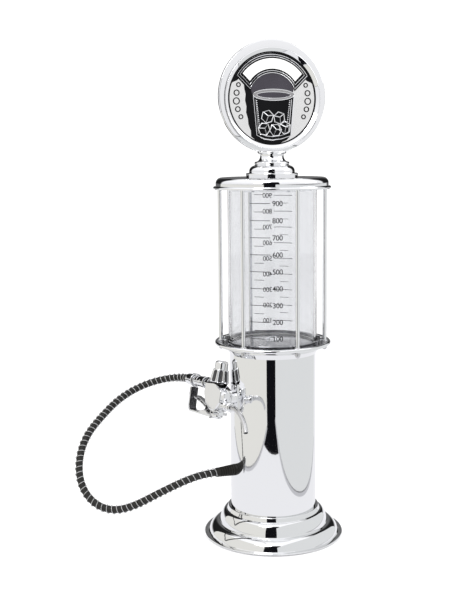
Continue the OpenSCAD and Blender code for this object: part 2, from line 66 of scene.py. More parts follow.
camera_data = bpy.data.cameras.new("camera")
camera_data.lens = 60.6
camera_data.sensor_width = 36
camera_data.clip_start = 0.05
camera_data.clip_end = 50
camera = bpy.data.objects.new("camera", camera_data)
camera.rotation_euler = CAMERA_TURN
camera.location = CAMERA_AT
scene.collection.objects.link(camera)
bpy.context.view_layer.update()
camera.matrix_world = (
    Matrix.Translation(CAMERA_AT)
    @ camera.rotation_euler.to_matrix().to_4x4()
    @ Matrix.Rotation(CAMERA_ROLL, 4, "Z")
)
scene.camera = camera


# ---------------------------------------------------------------- materials


def node(tree, kind, **values):
    n = tree.nodes.new(kind)
    for key, value in values.items():
        if key in n.inputs:
            n.inputs[key].default_value = value
        else:
            setattr(n, key, value)
    return n


def material(name, colour, rough, metallic=0.0, vary=0.05, spread=0.02, grain=60.0,
             bump=0.1, depth=0.00005, stretch=(1, 1, 1), **sockets):
    """A Principled material with noise in its colour, roughness and surface.

    Grain is in features per metre.
    """
    mat = bpy.data.materials.new(name)
    mat.use_nodes = True
    tree = mat.node_tree
    shader = tree.nodes["Principled BSDF"]
    shader.inputs["Metallic"].default_value = metallic
    for key, value in sockets.items():
        shader.inputs[key.replace("_", " ")].default_value = value
    place = node(tree, "ShaderNodeTexCoord")
    scale = node(tree, "ShaderNodeMapping", Scale=stretch)
    tree.links.new(place.outputs["Object"], scale.inputs["Vector"])
    fine = node(tree, "ShaderNodeTexNoise", Scale=grain, Detail=4.0, Roughness=0.6)
    broad = node(tree, "ShaderNodeTexNoise", Scale=grain * 0.17, Detail=2.0)
    for noise in (fine, broad):
        tree.links.new(scale.outputs["Vector"], noise.inputs["Vector"])
    tint = node(tree, "ShaderNodeMix", data_type="RGBA")
    tint.inputs[6].default_value = (*[c * (1 - vary) for c in colour], 1)
    tint.inputs[7].default_value = (*[min(1, c * (1 + vary)) for c in colour], 1)
    tree.links.new(broad.outputs["Fac"], tint.inputs[0])
    tree.links.new(tint.outputs[2], shader.inputs["Base Color"])
    gloss = node(tree, "ShaderNodeMapRange")
    gloss.inputs["To Min"].default_value = max(0, rough - spread)
    gloss.inputs["To Max"].default_value = rough + spread
    tree.links.new(fine.outputs["Fac"], gloss.inputs["Value"])
    tree.links.new(gloss.outputs["Result"], shader.inputs["Roughness"])
    if bump:
        relief = node(tree, "ShaderNodeBump", Strength=bump, Distance=depth)
        tree.links.new(fine.outputs["Fac"], relief.inputs["Height"])
        tree.links.new(relief.outputs["Normal"], shader.inputs["Normal"])
    return mat


CHROME = material("chrome", (0.86, 0.865, 0.875), 0.035, 1.0, vary=0.015, spread=0.02,
                  grain=45, bump=0.12, depth=0.00003)
# Painted shade: the vessel floor's chrome is darkened for the dark it shows under the glass.
FLOOR_SHADE_CHROME = material("chrome_floor_painted_shade", (0.25, 0.25, 0.262), 0.13, 1.0, vary=0.3, spread=0.05,
                       grain=240, bump=0.15, depth=0.00004, stretch=(1, 1, 8))
CHROME_CAST = material("chrome_cast", (0.84, 0.845, 0.86), 0.05, 1.0, vary=0.02, spread=0.03,
                       grain=160, bump=0.25, depth=0.00008)
STEEL = material("steel", (0.62, 0.62, 0.63), 0.28, 1.0, vary=0.08, spread=0.08, grain=900,
                 bump=0.3, depth=0.00003, stretch=(1, 1, 12))
FACE = material("sign_metal", (0.80, 0.80, 0.79), 0.16, 1.0, vary=0.05, spread=0.05, grain=1400,
                bump=0.25, depth=0.00002)
# Painted shade: chrome darkened to stand for the shade and dark reflections in recesses.
RECESS_SHADE_CHROME = material("chrome_recess_painted_shade", (0.1, 0.1, 0.105), 0.18, 1.0, vary=0.6, spread=0.1, grain=160)
DULL = material("sign_dull_metal", (0.36, 0.355, 0.36), 0.3, 1.0, vary=0.12, spread=0.08, grain=900,
                bump=0.3, depth=0.00003)
RUBBER = material("rubber", (0.022, 0.021, 0.02), 0.5, vary=0.3, spread=0.12, grain=700,
                  bump=0.5, depth=0.0001)
HOSE = material("hose_rubber", (0.014, 0.013, 0.012), 0.42, vary=0.35, spread=0.15, grain=420,
                bump=0.5, depth=0.00015, Specular_IOR_Level=0.3)
BOOT = material("boot_rubber", (0.012, 0.011, 0.009), 0.45, vary=0.3, spread=0.1, grain=500,
                bump=0.5, depth=0.0001, Specular_IOR_Level=0.25)
BLACK = material("black_enamel", (0.004, 0.004, 0.005), 0.4, vary=0.2, spread=0.06, grain=500,
                 bump=0.15, depth=0.00003, Specular_IOR_Level=0.08)
FIELD = material("grey_enamel", (0.045, 0.041, 0.052), 0.4, vary=0.25, spread=0.08, grain=300,
                 bump=0.2, depth=0.00003, Specular_IOR_Level=0.2)
WHITE = material("white_enamel", (0.88, 0.88, 0.87), 0.25, vary=0.03, spread=0.06, grain=500,
                 bump=0.1, depth=0.00002)
INK = material("scale_ink", (0.02, 0.02, 0.022), 0.5, vary=0.2, spread=0.1, grain=900, bump=0)
GASKET = material("gasket", (0.72, 0.72, 0.71), 0.5, vary=0.05, spread=0.1, grain=500, bump=0.2)
MILKY = material("milky_tube", (0.8, 0.81, 0.8), 0.35, vary=0.04, spread=0.1, grain=300, bump=0.1)
BRASS = material("brass", (0.66, 0.47, 0.2), 0.25, 1.0, vary=0.1, spread=0.08, grain=600, bump=0.2)
IRON = material("cast_iron", (0.1, 0.1, 0.105), 0.7, 0.6, vary=0.3, spread=0.12, grain=700,
                bump=0.6, depth=0.0003)
PLASTIC = material("base_plastic", (0.03, 0.03, 0.032), 0.45, vary=0.2, spread=0.1, grain=900,
                   bump=0.4, depth=0.00008)
GLASS = material("clear_tube", (0.84, 0.845, 0.86), 0.01, vary=0.004, spread=0.008, grain=30,
                 bump=0.04, depth=0.00003, Transmission_Weight=1.0, IOR=1.45)


# ---------------------------------------------------------------- mesh helpers


def moved(points, place):
    return [place @ (Vector(p) * MM) for p in points]


def make(name, verts, faces, mat, body, replaces=(), smooth=32):
    """One piece, from points in metres in the row frame."""
    mesh = bpy.data.meshes.new(name)
    mesh.from_pydata([tuple(v) for v in verts], [], faces)
    mesh.validate()
    mesh.polygons.foreach_set("use_smooth", [True] * len(mesh.polygons))
    mesh.set_sharp_from_angle(angle=math.radians(smooth))
    mesh.materials.append(mat)
    obj = bpy.data.objects.new(name, mesh)
    scene.collection.objects.link(obj)
    shading = obj.modifiers.new("flat_faces", "WEIGHTED_NORMAL")
    shading.weight = 60
    shading.keep_sharp = True
    if body:
        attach(obj, body)
    if replaces:
        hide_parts(*replaces)
    return obj


def arc(cx, cy, r, start, end, n=10):
    """Points of an arc, angles in degrees."""
    turns = [math.radians(start + (end - start) * i / n) for i in range(n + 1)]
    return [(cx + r * math.cos(t), cy + r * math.sin(t)) for t in turns]


def rounded(corners, n=6):
    """A closed outline from corners (x, y, fillet radius)."""
    out = []
    for i, (x, y, fillet) in enumerate(corners):
        b = Vector((x, y))
        if not fillet:
            out.append((x, y))
            continue
        a = Vector(corners[i - 1][:2]) - b
        c = Vector(corners[(i + 1) % len(corners)][:2]) - b
        half = a.angle(c) / 2
        back = min(fillet / math.tan(half), 0.49 * a.length, 0.49 * c.length)
        r = back * math.tan(half)
        centre = b + (a.normalized() + c.normalized()).normalized() * (r / math.sin(half))
        p = b + a.normalized() * back - centre
        q = b + c.normalized() * back - centre
        first = math.atan2(p.y, p.x)
        sweep = (math.atan2(q.y, q.x) - first + math.pi) % TAU - math.pi
        for k in range(n + 1):
            t = first + sweep * k / n
            out.append((centre.x + r * math.cos(t), centre.y + r * math.sin(t)))
    return out


def turned(profile, steps=144, closed=True, shape=None):
    """Points and faces of a profile (radius, height) turned about +Z.

    shape(radius, height, angle) may change a radius.
    """
    verts, rows, faces = [], [], []
    for r, z in profile:
        first = len(verts)
        if r < 1e-6:
            verts.append((0, 0, z))
            rows.append([first] * steps)
            continue
        for k in range(steps):
            t = TAU * k / steps
            q = shape(r, z, t) if shape else r
            verts.append((q * math.cos(t), q * math.sin(t), z))
        rows.append(list(range(first, first + steps)))
    pairs = list(zip(rows, rows[1:]))
    if closed:
        pairs.append((rows[-1], rows[0]))
    for low, high in pairs:
        for k in range(steps):
            m = (k + 1) % steps
            loop = []
            for v in (low[k], low[m], high[m], high[k]):
                if v not in loop:
                    loop.append(v)
            if len(loop) > 2:
                faces.append(loop)
    return verts, faces


def lathe(name, profile, mat, body, replaces=(), place=Matrix.Identity(4), steps=144,
          closed=True, shape=None, smooth=32):
    verts, faces = turned(profile, steps, closed, shape)
    return make(name, moved(verts, place), faces, mat, body, replaces, smooth)


def frames(points, closed=False):
    """Headings and sideways vectors carried along a path."""
    n = len(points)
    out, side = [], None
    for i in range(n):
        a = points[(i - 1) % n] if closed else points[max(i - 1, 0)]
        b = points[(i + 1) % n] if closed else points[min(i + 1, n - 1)]
        t = (b - a).normalized()
        if side is None:
            side = t.orthogonal().normalized()
        side = (side - side.dot(t) * t).normalized()
        out.append((t, side, t.cross(side)))
    return out


def swept(points, radius, sides=12, closed=False, radii=None):
    """Points and faces of a round bar along a path."""
    points = [Vector(p) for p in points]
    verts, faces = [], []
    for i, (_, u, v) in enumerate(frames(points, closed)):
        r = radii[i] if radii else radius
        for k in range(sides):
            a = TAU * k / sides
            verts.append(points[i] + r * (math.cos(a) * u + math.sin(a) * v))
    n = len(points)
    for i in range(n if closed else n - 1):
        for k in range(sides):
            m = (k + 1) % sides
            j = (i + 1) % n
            faces.append((i * sides + k, i * sides + m, j * sides + m, j * sides + k))
    if not closed:
        faces.append(tuple(reversed(range(sides))))
        faces.append(tuple((n - 1) * sides + k for k in range(sides)))
    return verts, faces


def joined(parts):
    """One list of points and faces from several."""
    verts, faces = [], []
    for some_verts, some_faces in parts:
        start = len(verts)
        verts += [tuple(v) for v in some_verts]
        faces += [tuple(i + start for i in f) for f in some_faces]
    return verts, faces


def prism(outline, low, high):
    """A flat outline (x, y) as a plate from height low to high."""
    n = len(outline)
    verts = [(x, y, low) for x, y in outline] + [(x, y, high) for x, y in outline]
    faces = [tuple(reversed(range(n))), tuple(range(n, 2 * n))]
    faces += [(i, (i + 1) % n, n + (i + 1) % n, n + i) for i in range(n)]
    return verts, faces


def upright(shape):
    """Turns a plate drawn in (y, z) with its thickness along x into place."""
    verts, faces = shape
    return [(w, u, v) for u, v, w in verts], faces


def darken(obj, chosen):
    """Gives the chosen faces painted shade: a dark chrome that stands for the dark a recess shows.
    """
    obj.data.materials.append(RECESS_SHADE_CHROME)
    for face in obj.data.polygons:
        if chosen(face):
            face.material_index = 1


def bevelled(obj, width, segments=3, angle=40):
    edge = obj.modifiers.new("edges", "BEVEL")
    edge.width = width * MM
    edge.segments = segments
    edge.limit_method = "ANGLE"
    edge.angle_limit = math.radians(angle)
    obj.modifiers.move(1, 0)
    return obj


# ---------------------------------------------------------------- hose

ROUTE = [
    (-67, 0, 74), (-80, 0, 74), (-95, 2, 71), (-112, 7, 64), (-128, 15, 55), (-143, 24, 45),
    (-158, 35, 37), (-173, 46, 36), (-186, 59, 45), (-192, 71, 62), (-189, 82, 81),
    (-180, 93, 97), (-167, 103, 109), (-151, 112, 119), (-134, 120, 130), (-116, 125, 138),
    (-98, 127, 144), (-82, 122, 149), (-68, 112, 152.6), (-60, 98, 154.4), (-59.65, 84, 155.87),
]


def spline(corners, n):
    p = [Vector(c) for c in corners]
    q = [2 * p[0] - p[1], *p, 2 * p[-1] - p[-2]]
    out = []
    for i in range(len(p) - 1):
        a, b, c, d = q[i:i + 4]
        for k in range(n):
            t = k / n
            out.append(((1 - t) ** 3 * a + (3 * t ** 3 - 6 * t * t + 4) * b
                        + (-3 * t ** 3 + 3 * t * t + 3 * t + 1) * c + t ** 3 * d) / 6)
    return out + [p[-1]]


def evenly(points, gap):
    """The same line with points a fixed distance apart."""
    lengths = [0]
    for a, b in zip(points, points[1:]):
        lengths.append(lengths[-1] + (b - a).length)
    count = max(2, round(lengths[-1] / gap))
    out, i = [], 0
    for k in range(count + 1):
        s = lengths[-1] * k / count
        while i < len(lengths) - 2 and lengths[i + 1] < s:
            i += 1
        f = (s - lengths[i]) / (lengths[i + 1] - lengths[i])
        out.append(points[i].lerp(points[i + 1], f))
    return out, lengths[-1]


STEPS_PER_ROUTE_POINT = 24
POINT_GAP = 0.72
line, line_length = evenly(spline(ROUTE, STEPS_PER_ROUTE_POINT), POINT_GAP)
WIRE_PITCH = 5.8
WIRE_CENTRE_R = 4.45
WIRE_R = 0.36
CORE_R = 3.72
RIB_DEPTH = 0.2
ribs = [CORE_R + RIB_DEPTH * math.cos(TAU * line_length * i / (len(line) - 1) / WIRE_PITCH)
        for i in range(len(line))]
core = swept(line, 0, 20, radii=ribs)
turns = line_length / WIRE_PITCH
steps_per_turn = 20
helix = []
way = frames(line)
for i in range(int(turns * steps_per_turn)):
    s = i / (turns * steps_per_turn) * (len(line) - 1)
    j = min(int(s), len(line) - 2)
    t, u, v = way[j]
    a = TAU * i / steps_per_turn
    helix.append(line[j].lerp(line[j + 1], s - j)
                 + WIRE_CENTRE_R * (math.cos(a) * u + math.sin(a) * v))
wire = swept(helix, WIRE_R, 6)

hose = make("hose_core", [Vector(v) * MM for v in core[0]], core[1], HOSE, None,
            ("hose",), smooth=60)
hose_wire = make("hose_wire", [Vector(v) * MM for v in wire[0]], wire[1], STEEL, None,
                 smooth=60)
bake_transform(hose)
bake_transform(hose_wire)

# ---------------------------------------------------------------- boot

OUT_X = Matrix.Translation((0, 0, 74 * MM)) @ Matrix.Rotation(-math.pi / 2, 4, "Y")
BOOT_RIBS = 7
BOOT_RIB_PITCH = 2.6
boot_profile = [(2.4, 43.6), (5.6, 43.6), (6.0, 44.4), (6.0, 46.2)]
for k in range(BOOT_RIBS):
    z = 46.6 + BOOT_RIB_PITCH * k
    r = 5.9 - 0.17 * k
    boot_profile += [(r - 0.7, z), (r - 0.7, z + 0.6), (r, z + 0.9), (r - 0.05, z + 2.2)]
boot_profile += [(4.85, 64.8), (4.75, 66.4), (4.3, 67), (2.4, 67)]
boot = lathe("hose_boot_ribbed", boot_profile, BOOT, "pump", ("hose_boot",),
             OUT_X, steps=64)

# ---------------------------------------------------------------- base and column


def bulge(foot_r, foot_z, top_r, top_z, start=0, end=90, n=18):
    """A quarter of an ellipse, upright at its foot and level at its top."""
    return [(top_r + (foot_r - top_r) * math.cos(t), foot_z + (top_z - foot_z) * math.sin(t))
            for t in [math.radians(start + (end - start) * i / n) for i in range(n + 1)]]


base_outer = (
    [(59.2, 1.0)]
    + arc(72.6, 1.8, 0.8, -90, 90, 8)
    + [(69.3, 2.65)]
    + bulge(69.35, -0.42, 57.6, 13.3, 14, 88)
    + [(57.3, 13.5)]
    + bulge(57.57, 7.35, 49.8, 26.5, 20, 87)
    + [(49.3, 26.8), (48.9, 27.6), (48.0, 30.0)]
    + arc(46.9, 29.9, 1.1, 14, 90, 6)
    + [(45.12, 31.0)]
)
base_inner = [(45.12, 25), (50.5, 24.4), (53.6, 21.5), (54.6, 14), (54.6, 11.5), (60, 10.6),
              (65, 7.5), (66.4, 3.6), (64, 3), (59.2, 3)]
lathe("base_turned", base_outer + base_inner, CHROME, "pump", ("base_shell",),
      steps=200)
lathe("column_tube", [(43.8, 16), (45, 16), (45, 200), (43.8, 200)], CHROME, "pump",
      ("column",), steps=200)

rim_profile = (
    [(45.12, 200), (45.12, 196.0), (45.5, 195.8), (48.7, 200.4), (49.1, 201.1), (49.15, 202.4)]
    + [(49.8, 202.8), (52.5, 203.1), (56.2, 203.9)]
    + arc(58.3, 206.5, 2, -62, 160, 16)
    + [(56.2, 205.4), (55.8, 205), (40, 205), (40, 200)]
)
lathe("rim_turned", rim_profile, CHROME, "pump", ("rim",), steps=200)

# ---------------------------------------------------------------- vessel

BORE_R = 43.3
TUBE_R = 45.8
TUBE_FOOT = 207.5
TUBE_TOP = 365.4

floor_profile = [
    (5, 205), (49, 205), (49, 209.4), (48.6, 210), (47, 210), (46.4, 209.4), (46.4, 206.5),
    (43.2, 206.5), (42.4, 206.6), (36, 207), (24, 207.7), (12, 208.4), (10, 208.5), (5, 208.5),
]
# The dish carries painted shade: its chrome is darkened for the dark under the glass.
lathe("vessel_dish", floor_profile, FLOOR_SHADE_CHROME, "pump", ("vessel_floor",),
      steps=160)
lathe("drain_turned",
      [(1.6, 184), (2.5, 184), (2.5, 197), (5, 197), (5, 208.5), (9, 208.5), (9, 209),
       (8.7, 209.2), (4.2, 211.3), (3.4, 210.9), (3.2, 204.6), (1.6, 204.4)],
      CHROME, "pump", ("drain_fitting",), steps=64)
for name, z in (("lower_gasket", TUBE_FOOT - 1), ("upper_gasket", TUBE_TOP)):
    lathe(name + "_ring", rounded([(BORE_R, z, 0.25), (TUBE_R, z, 0.25), (TUBE_R, z + 1, 0.25),
                                   (BORE_R, z + 1, 0.25)], 3),
          GASKET, "pump", (name,), steps=120)
lathe("vessel_glass", rounded([(BORE_R, TUBE_FOOT, 0.4), (TUBE_R, TUBE_FOOT, 0.4),
                               (TUBE_R, TUBE_TOP, 0.4), (BORE_R, TUBE_TOP, 0.4)], 3),
      GLASS, "pump", ("vessel_tube",), steps=200)

ROD_CIRCLE = 54
ROD_TURNS = [math.radians(-90 + 60 * i) for i in range(6)]
for i, turn in enumerate(ROD_TURNS):
    place = Matrix.Translation((ROD_CIRCLE * MM * math.cos(turn),
                                ROD_CIRCLE * MM * math.sin(turn), 0))
    lathe(f"rod_turned_{i + 1}",
          [(0, 199.5), (1.2, 199.5), (1.5, 199.8), (1.5, 205), (2, 205), (2, 365.2), (1.5, 365.2),
           (1.5, 367.4), (1.3, 367.6), (0, 367.6)],
          CHROME, "pump", (f"rod_{i + 1}",), place, steps=36, closed=False)

feet, nuts = [], []
for turn in ROD_TURNS:
    x, y = ROD_CIRCLE * math.cos(turn), ROD_CIRCLE * math.sin(turn)
    foot = turned([(2.02, 205), (3.1, 205), (3.3, 205.3), (3.3, 206.5), (2.95, 206.8),
                   (2.95, 207.2), (3.2, 207.5), (3.1, 208.5), (2.7, 209), (2.02, 209)], 36)
    nut = turned(arc(0, 200.6, 2.5, -90, -12, 8) + [(2.62, 200.4), (2.9, 200.6), (2.9, 202.5),
                 (2.6, 202.9), (0, 202.9)], 36, closed=False)
    for group, shape in ((feet, foot), (nuts, nut)):
        group.append(([(a + x, b + y, c) for a, b, c in shape[0]], shape[1]))
for name, group, old in (("rod_feet_turned", feet, "rod_feet"), ("rod_cap_nuts", nuts, "rod_nuts")):
    verts, faces = joined(group)
    make(name, moved(verts, Matrix.Identity(4)), faces, STEEL, "pump", (old,))

ring_profile = [(42, 365.2), (58.8, 365.2)] + arc(58.8, 366.7, 1.5, -90, 90, 12) + [(42, 368.2)]
lathe("top_ring_turned", ring_profile, CHROME, "pump", ("top_ring",), steps=200)

# ---------------------------------------------------------------- printed scale

PRINT_R = 45.86


def around(points, faces, turn):
    """Wraps flat (x, z) points round the tube; x is measured along the surface."""
    verts = []
    for x, z in points:
        a = turn + x / PRINT_R
        verts.append((PRINT_R * math.cos(a), PRINT_R * math.sin(a), z))
    return verts, faces


def mark(x0, x1, z, half):
    n = 10
    xs = [x0 + (x1 - x0) * k / n for k in range(n + 1)]
    points = [(x, z - half) for x in xs] + [(x, z + half) for x in xs]
    return points, [(k, k + 1, n + 2 + k, n + 1 + k) for k in range(n)]


def number(text, x0, z):
    """Digits as flat faces, their middle at about height z."""
    curve = bpy.data.curves.new("digits", "FONT")
    curve.body = text
    curve.size = 7.4
    curve.space_character = 0.94
    curve.resolution_u = 4
    curve.offset = 0.08
    holder = bpy.data.objects.new("digits", curve)
    mesh = bpy.data.meshes.new_from_object(holder)
    points = [(x0 + v.co.x, z + v.co.y - 2.6) for v in mesh.vertices]
    faces = [tuple(p.vertices) for p in mesh.polygons]
    bpy.data.objects.remove(holder)
    bpy.data.curves.remove(curve)
    bpy.data.meshes.remove(mesh)
    return points, faces


DEG = PRINT_R * math.pi / 180  # the arc that one degree covers on the tube
LONG_MARK = (-29 * DEG, -2.6 * DEG)
SHORT_MARK = (-23 * DEG, -10.5 * DEG)
FIRST_MARK_Z = 217.2
MM_PER_ML = 0.169
HIGHEST_MARK_Z = 363
HALF_MARK_RISE = 8.6
FAR_SIDE_LIFT = 4.2
prints = []
for side, lift in ((0, 0), (math.pi, FAR_SIDE_LIFT)):
    for amount in range(100, 1001, 100):
        z = FIRST_MARK_Z + (amount - 100) * MM_PER_ML + lift
        if z < HIGHEST_MARK_Z:
            prints.append(around(*mark(*LONG_MARK, z, 0.3), CAMERA_SIDE + side))
            prints.append(around(*number(str(amount), 0, z), CAMERA_SIDE + side))
        if amount < 1000:
            prints.append(around(*mark(*SHORT_MARK, z + HALF_MARK_RISE, 0.25),
                                 CAMERA_SIDE + side))
verts, faces = joined(prints)
make("vessel_scale", moved(verts, Matrix.Identity(4)), faces, INK, "pump")

# ---------------------------------------------------------------- lid and finial

lid_profile = (
    [(40.2, 363.2), (41.7, 363.2), (41.7, 368.2), (57.5, 368.2), (57.7, 368.5)]
    + arc(51.9, 371.2, 5.8, 0, 90, 16)
    + [(26, 377), (0, 377), (0, 375.5), (40.2, 375.5)]
)
lathe("lid_turned", lid_profile, CHROME, "lid", ("lid_cap",), steps=200)
finial_profile = (
    [(0, 377.02), (26.3, 377.02)]
    + arc(25.6, 380.4, 0.9, 0, 90, 6)
    + [(23.5, 381.4)]
    + arc(17.4, 383, 5.9, -8, 80, 14)
    + [(17.6, 389.4)]
    + arc(16.2, 391.2, 1.6, -50, 60, 10)
    + [(15.2, 393.0), (13.6, 394.1), (12.5, 395.8), (11.95, 397.6), (11.9, 398.8), (12.3, 400.2)]
    + arc(13.2, 402, 1.5, -50, 80, 10)
    + [(12.4, 403.7), (0, 403.7)]
)
lathe("finial_turned", finial_profile, CHROME, "lid", ("finial",), steps=144,
      closed=False)

# ---------------------------------------------------------------- sign

SIGN_Z = 457.5
SIGN_TURN = math.radians(-9)
SIGN = (Matrix.Translation((0, 0, SIGN_Z * MM)) @ Matrix.Rotation(SIGN_TURN, 4, "Z")
        @ Matrix.Rotation(math.pi / 2, 4, "X"))
ART_DROP = 1.7
ART = SIGN @ Matrix.Translation((0, -ART_DROP * MM, 0))


def set_low(r, _, t):
    """Sets the bezel's inner edge a little low on the sign, its outer edge left in place."""
    return r - ART_DROP * math.sin(t) * min(1, max(0, (54.4 - r) / 3))


lathe("sign_back_turned",
      [(0, -6.5), (51.4, -6.5)] + arc(52.0, -3.3, 3.2, -90, 0, 10) + [(55.4, -0.25), (55.2, 0),
       (44, 0), (44, -5), (0, -5)],
      CHROME, "lid", ("sign_back",), SIGN, steps=200, closed=False)
lathe("sign_bezel_turned",
      [(47.6, 0), (55.8, 0), (56.5, 0.3), (56.5, 2.6)] + arc(55.3, 2.7, 1.2, 0, 82, 8)
      + [(51.4, 4.2), (51.0, 4.0), (50.6, 4.0), (50.4, 4.9)] + arc(49.9, 5.0, 0.5, 0, 120, 6)
      + [(47.0, 3.5), (46.5, 3.1), (46.5, 2.42), (47.6, 2.42)],
      CHROME, "lid", ("sign_bezel",), SIGN, steps=200, shape=set_low)
lathe("sign_disc", [(0, 0), (47.3, 0), (47.5, 0.2), (47.5, 2.2), (47.3, 2.4), (0, 2.4)], FACE,
      "lid", ("sign_face",), ART, steps=160, closed=False)
lathe("sign_black_ring", rounded([(45.1, 2.41, 0.2), (46.45, 2.41, 0.2), (46.45, 3.1, 0.3),
                                  (45.1, 3.1, 0.3)], 3),
      BLACK, "lid", (), ART, steps=160)

TOP = 2.4


def on_face(name, parts, mat, replaces=()):
    verts, faces = joined(parts)
    return make(name, moved(verts, ART), faces, mat, "lid", replaces, smooth=40)


def line_on_face(points, r, closed=False, z=TOP + 0.5):
    return swept([(x, y, z) for x, y in points], r, 8, closed)


def banner(r0, r1, spread):
    """An arched banner whose ends slope at 45 degrees.

    Spread is its half-angle along the outer edge.
    """
    low = 90 - spread
    x1, y1 = r1 * math.cos(math.radians(low)), r1 * math.sin(math.radians(low))
    c = x1 - y1
    x0 = (c + math.sqrt(2 * r0 * r0 - c * c)) / 2
    inner = math.degrees(math.atan2(x0 - c, x0))
    return arc(0, 0, r1, low, 180 - low, 32) + arc(0, 0, r0, 180 - inner, inner, 32)


lines = [line_on_face(banner(25.4, 43.4, 58.5), 0.4, True),
         line_on_face(banner(27.4, 41.4, 55.5), 0.34, True, TOP + 0.6)]
on_face("sign_banner_back", [prism(banner(24.8, 45, 60), TOP, TOP + 0.5)], BLACK)
on_face("sign_banner", [prism(banner(29.4, 39.6, 52), TOP, TOP + 0.85)], WHITE)
field = arc(0, 0, 24.9, 24, 156, 28) + [(-21.5, 4), (21.5, 4)]
on_face("sign_field", [prism(field, TOP, TOP + 0.25)], FIELD)
for side in (-1, 1):
    corner = [(side * x, y) for x, y in ((36.5, 25.5), (41.5, 20), (44.6, 13.5), (41, 16),
                                         (37, 17.5), (34.5, 20))]
    on_face("sign_corner_left" if side < 0 else "sign_corner_right",
            [prism(corner[::-side], TOP, TOP + 0.3)], BLACK)

shade = [(-20, 18), (-25.5, 14.5), (-30.2, 15.5), (-29.4, 9), (-28.2, 4), (-28.8, -2), (-27.4, -8),
         (-27.8, -14), (-26, -20), (-25.4, -26), (-23, -32), (-22.6, -38), (-17, -42.2),
         (-9, -44.6), (0, -45.4), (8, -44.6), (15, -41.6), (18.6, -38), (12, -37), (-14, -33)]
on_face("sign_shade", [prism(shade, TOP, TOP + 0.2)], BLACK)
glass_fill = [(-16.8, -37.5), (-9, -40.4), (0, -41.6), (9, -40.6), (19.2, -37.6), (22.5, 3.5),
              (-20.5, 3.5)]
on_face("sign_tumbler_fill", [prism(glass_fill, TOP, TOP + 0.35)], BLACK)
circle = [TAU * k / 48 for k in range(48)]
rim_oval = [(1.2 + 21.8 * math.cos(t), 3.6 + 5.6 * math.sin(t)) for t in circle]
inner_oval = [(1.2 + 17.8 * math.cos(t), 3.4 + 3.1 * math.sin(t)) for t in circle]
on_face("sign_tumbler_rim", [prism(rim_oval, TOP, TOP + 0.55)], DULL)
on_face("sign_tumbler_mouth", [prism(inner_oval, TOP + 0.5, TOP + 0.62)], FIELD)


def cube_lines(cx, cy, size, turn):
    """The outline and the three inner edges of an ice cube."""
    a = math.radians(turn)
    corner = [(cx + size * math.cos(a + TAU * k / 6), cy + size * math.sin(a + TAU * k / 6))
              for k in range(6)]
    inner = (cx + 0.1 * size, cy + 0.12 * size)
    return [line_on_face(corner, 0.62, True, TOP + 0.62)] + [
        line_on_face([corner[k], inner], 0.5, False, TOP + 0.62) for k in (0, 2, 4)]


lines += [
    line_on_face([(-20.8, 2.6), (-17.2, -36.8), (-9, -40.2), (0, -41.4), (9, -40.4), (19.6, -37),
                  (23, 2.6)], 0.75),
    line_on_face([(-18, -1), (-15.4, -34.4), (-7, -37.2), (0, -38), (8, -37.2), (17.0, -34.4),
                  (20.2, -1)], 0.4),
    line_on_face(rim_oval, 0.4, True, TOP + 0.55),
    line_on_face(inner_oval, 0.3, True, TOP + 0.62),
]
for cube in ((-5.6, -18.2, 6.6, 14), (7.0, -19.4, 6.2, 40), (-9.2, -30.4, 6.4, 52),
             (3.0, -31.6, 6.4, 5), (13.0, -29.2, 6.4, 25)):
    lines += cube_lines(*cube)
on_face("sign_lines", lines, CHROME_CAST)

beads = []
for side in (-1, 1):
    for k in range(15):
        f = k / 14
        x, y = 0.6 + side * (17.6 - 3.0 * f), -2.4 - 26 * f
        bead = turned(arc(0, 0, 0.72, -90, 90, 5), 10, closed=False)
        beads.append(([(a + x, b + y, c + TOP + 0.5) for a, b, c in bead[0]], bead[1]))
on_face("sign_beads", beads, CHROME_CAST)

dots = []
for side in (-1, 1):
    for k, r in enumerate((2.4, 3.1, 3.6, 2.9, 2.5)):
        a = math.radians(20.5 - 12.3 * k)
        cx, cy = side * 38 * math.cos(a), 38 * math.sin(a)
        loop = [(cx + (r - 0.5) * math.cos(TAU * j / 28), cy + (r - 0.5) * math.sin(TAU * j / 28))
                for j in range(28)]
        dots.append(line_on_face(loop, 0.52, True, TOP + 0.35))
on_face("sign_ring_dots", dots, BLACK, ("sign_emblem",))

# ---------------------------------------------------------------- nozzle

NOZZLE_AT = (-58 * MM, 0, 163 * MM)
NOZZLE_LEAN = math.radians(13)
NOZZLE_NOD = math.radians(-6)
NOZZLE = (Matrix.Translation(NOZZLE_AT) @ Matrix.Rotation(NOZZLE_LEAN, 4, "Y")
          @ Matrix.Rotation(NOZZLE_NOD, 4, "X"))
AXIS_Z = 1.5
SPOUT_Z = -17.5
VALVE_Y = 10


def in_nozzle(name, parts, mat=CHROME_CAST, replaces=(), body="nozzle",
              smooth=32):
    verts, faces = joined(parts)
    return make(name, moved(verts, NOZZLE), faces, mat, body, replaces, smooth)


def along_y(profile, z=AXIS_Z, steps=64, closed=True):
    """A profile (radius, y) turned about the nozzle's +Y direction, at height z."""
    verts, faces = turned(profile, steps, closed)
    return [(a, c, z - b) for a, b, c in verts], faces


def along_z(profile, y, steps=64, closed=True, shape=None):
    verts, faces = turned(profile, steps, closed, shape)
    return [(a, b + y, c) for a, b, c in verts], faces


